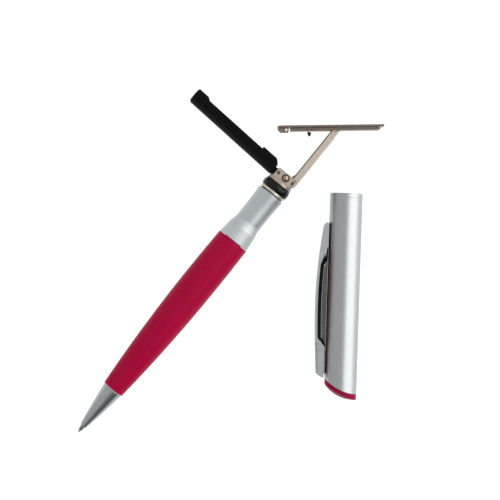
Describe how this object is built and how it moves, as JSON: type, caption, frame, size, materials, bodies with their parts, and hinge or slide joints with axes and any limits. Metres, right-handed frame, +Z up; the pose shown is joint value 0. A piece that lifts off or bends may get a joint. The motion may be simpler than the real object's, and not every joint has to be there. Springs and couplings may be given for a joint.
{
  "type": "stamp pen",
  "caption": "Twist ball pen whose tail carries a folding ink pad arm and a folding stamp plate, lying open beside its clip cap.",
  "frame": {"origin": "middle of the object's footprint, on the table that it lies on", "axes": "+Z up from the table, +Y along the cap's axis towards its open mouth, +X across the table to the cap's side; the pen lies 52.82 degrees from +X"},
  "size_m": [0.0916, 0.107, 0.0108],
  "materials": {
    "red_lacquer": "satin red lacquer over brass",
    "red_plastic": "glossy moulded red",
    "satin_silver": "satin silver plating",
    "nose_nickel": "satin nickel, slightly darker than the collar",
    "champagne_nickel": "warm satin nickel",
    "bronze_nickel": "dark warm nickel, fine grain",
    "dark_steel": "dark satin steel",
    "polished_steel": "bright turned steel",
    "brass": "turned brass",
    "black_plastic": "matte moulded black",
    "white_plastic": "natural acetal",
    "black_rubber": "smooth moulded rubber",
    "ink_felt": "felt soaked in dark ink"
  },
  "bodies": {
    "barrel": {"nose_cone": "nose_nickel", "front_bush": "brass", "red_barrel": "red_lacquer", "twist_housing": "brass"},
    "head": {"cam_sleeve": "white_plastic", "mechanism_clip": "polished_steel", "collar": "satin_silver", "stem": "satin_silver", "retaining_ring": "champagne_nickel", "rubber_ring": "black_rubber", "seal_washer": "black_rubber", "hinge_block": "champagne_nickel", "centre_rivet": "champagne_nickel", "pad_arm_pin": "polished_steel", "stamp_arm_pin": "polished_steel", "torsion_spring": "polished_steel"},
    "refill": {"writing_ball": "polished_steel", "refill_point": "dark_steel", "refill_tube": "brass", "refill_socket": "white_plastic", "drive_pin": "polished_steel"},
    "pad_arm": {"pad_holder": "black_plastic", "ink_pad": "ink_felt"},
    "stamp_arm": {"stamp_arm": "champagne_nickel", "plate_pivot_pin": "champagne_nickel"},
    "stamp_plate": {"stamp_plate": "bronze_nickel", "plate_rail": "bronze_nickel", "plate_end_clip": "bronze_nickel", "stud_sleeve": "champagne_nickel", "stud_tip": "black_plastic"},
    "cap": {"cap_tube": "satin_silver", "end_plug": "white_plastic", "cap_insert": "red_plastic", "clip_base": "dark_steel", "clip_pin": "polished_steel", "clip_screw": "polished_steel"},
    "clip": {"clip": "satin_silver", "clip_liner": "black_plastic"}
  },
  "joints": [
    {"name": "twist", "type": "hinge", "parent": "barrel", "child": "head", "pos_m": [0.00269, 0.01035, 0.00542], "axis": [0.6043, 0.7967, 0], "range_deg": [0, 120]},
    {"name": "refill_travel", "type": "slide", "parent": "barrel", "child": "refill", "axis": [0.6043, 0.7967, 0], "range_m": [0, 0.0045]},
    {"name": "pad_arm_fold", "type": "hinge", "parent": "head", "child": "pad_arm", "pos_m": [0.01373, 0.02871, 0.00542], "axis": [0, 0, 1], "range_deg": [-27, 0], "stiffness_Nm_per_rad": 0.001, "springref_deg": 28.65},
    {"name": "stamp_arm_give", "type": "hinge", "parent": "head", "child": "stamp_arm", "pos_m": [0.01808, 0.02542, 0.00542], "axis": [0, 0, 1], "range_deg": [0, 5], "stiffness_Nm_per_rad": 0.005, "springref_deg": -11.46},
    {"name": "plate_tilt", "type": "hinge", "parent": "stamp_arm", "child": "stamp_plate", "pos_m": [0.03083, 0.04223, 0.00542], "axis": [0, 0, 1], "range_deg": [-39.7, 50]},
    {"name": "cap_pull", "type": "slide", "parent": "barrel", "child": "cap", "axis": [0, -1, 0], "range_m": [0, 0.04]},
    {"name": "clip_spring", "type": "hinge", "parent": "cap", "child": "clip", "pos_m": [0.02866, -0.03107, 0.00505], "axis": [0, 0, 1], "range_deg": [0, 4], "stiffness_Nm_per_rad": 3, "springref_deg": -1.15}
  ],
  "couplings": [
    {"joint": "refill_travel", "follows": "twist", "m_per_rad": 0.0021486}
  ]
}
